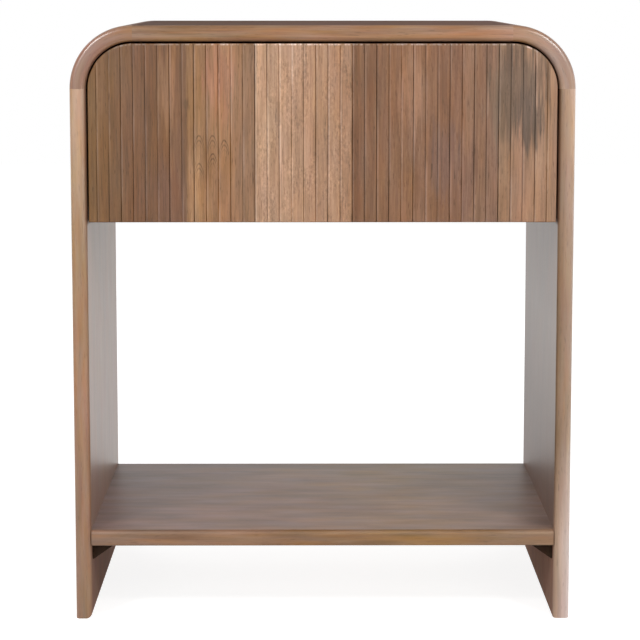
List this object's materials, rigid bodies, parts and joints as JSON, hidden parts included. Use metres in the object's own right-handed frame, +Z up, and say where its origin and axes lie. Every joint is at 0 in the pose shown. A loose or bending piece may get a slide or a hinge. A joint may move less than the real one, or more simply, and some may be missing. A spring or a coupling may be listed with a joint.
{
  "type": "accent table",
  "caption": "Rounded-corner wooden side table with a reeded push-in drawer on telescopic slides, an open bay and a lower shelf.",
  "frame": {"origin": "on the floor, midway between the two side boards and between front and back", "axes": "+X to the right seen from the front, +Y to the back, +Z up"},
  "size_m": [0.56, 0.4, 0.67],
  "materials": {
    "frame_wood": "mid-brown solid hardwood, satin oil finish",
    "reeded_wood": "glued-up boards of mixed brown tones, upright reeds, satin oil finish",
    "cleat_wood": "dark sawn hardwood strip",
    "inner_wood": "plain planed hardwood, unpolished",
    "plywood": "sanded plywood",
    "dowel_beech": "plain turned beech",
    "screw_steel": "zinc plated steel",
    "slide_steel": "bright zinc plated rolled steel",
    "ball_steel": "polished bearing steel"
  },
  "bodies": {
    "frame": {"left_side_panel": "frame_wood", "right_side_panel": "frame_wood", "left_corner_block": "frame_wood", "right_corner_block": "frame_wood", "top_board": "frame_wood", "lower_shelf": "frame_wood", "left_shelf_cleat": "cleat_wood", "right_shelf_cleat": "cleat_wood", "drawer_bay_floor": "inner_wood", "back_panel": "plywood", "frame_dowels": "dowel_beech", "shelf_dowels": "dowel_beech", "bay_floor_dowels": "dowel_beech", "cleat_screws": "screw_steel", "back_panel_screws": "screw_steel", "left_slide_cabinet_member": "slide_steel", "left_cabinet_slide_screws": "screw_steel", "right_slide_cabinet_member": "slide_steel", "right_cabinet_slide_screws": "screw_steel"},
    "drawer": {"drawer_front": "reeded_wood", "drawer_box_front": "inner_wood", "drawer_left_side": "inner_wood", "drawer_right_side": "inner_wood", "drawer_box_back": "inner_wood", "drawer_bottom": "plywood", "drawer_box_dowels": "dowel_beech", "drawer_front_screws": "screw_steel", "left_slide_drawer_member": "slide_steel", "left_drawer_slide_screws": "screw_steel", "right_slide_drawer_member": "slide_steel", "right_drawer_slide_screws": "screw_steel"},
    "left_middle_member": {"left_slide_middle_member": "slide_steel"},
    "left_outer_cage": {"left_outer_ball_cage": "slide_steel", "left_outer_slide_balls": "ball_steel"},
    "left_inner_cage": {"left_inner_ball_cage": "slide_steel", "left_inner_slide_balls": "ball_steel"},
    "right_middle_member": {"right_slide_middle_member": "slide_steel"},
    "right_outer_cage": {"right_outer_ball_cage": "slide_steel", "right_outer_slide_balls": "ball_steel"},
    "right_inner_cage": {"right_inner_ball_cage": "slide_steel", "right_inner_slide_balls": "ball_steel"}
  },
  "joints": [
    {"name": "drawer_slide", "type": "slide", "parent": "frame", "child": "drawer", "axis": [0, -1, 0], "range_m": [0, 0.34]},
    {"name": "left_middle_member_slide", "type": "slide", "parent": "frame", "child": "left_middle_member", "axis": [0, -1, 0], "range_m": [0, 0.17]},
    {"name": "left_outer_cage_slide", "type": "slide", "parent": "frame", "child": "left_outer_cage", "axis": [0, -1, 0], "range_m": [0, 0.085]},
    {"name": "left_inner_cage_slide", "type": "slide", "parent": "frame", "child": "left_inner_cage", "axis": [0, -1, 0], "range_m": [0, 0.255]},
    {"name": "right_middle_member_slide", "type": "slide", "parent": "frame", "child": "right_middle_member", "axis": [0, -1, 0], "range_m": [0, 0.17]},
    {"name": "right_outer_cage_slide", "type": "slide", "parent": "frame", "child": "right_outer_cage", "axis": [0, -1, 0], "range_m": [0, 0.085]},
    {"name": "right_inner_cage_slide", "type": "slide", "parent": "frame", "child": "right_inner_cage", "axis": [0, -1, 0], "range_m": [0, 0.255]}
  ],
  "couplings": [
    {"joint": "left_middle_member_slide", "follows": "drawer_slide", "ratio": 0.5},
    {"joint": "left_outer_cage_slide", "follows": "drawer_slide", "ratio": 0.25},
    {"joint": "left_inner_cage_slide", "follows": "drawer_slide", "ratio": 0.75},
    {"joint": "right_middle_member_slide", "follows": "drawer_slide", "ratio": 0.5},
    {"joint": "right_outer_cage_slide", "follows": "drawer_slide", "ratio": 0.25},
    {"joint": "right_inner_cage_slide", "follows": "drawer_slide", "ratio": 0.75}
  ]
}
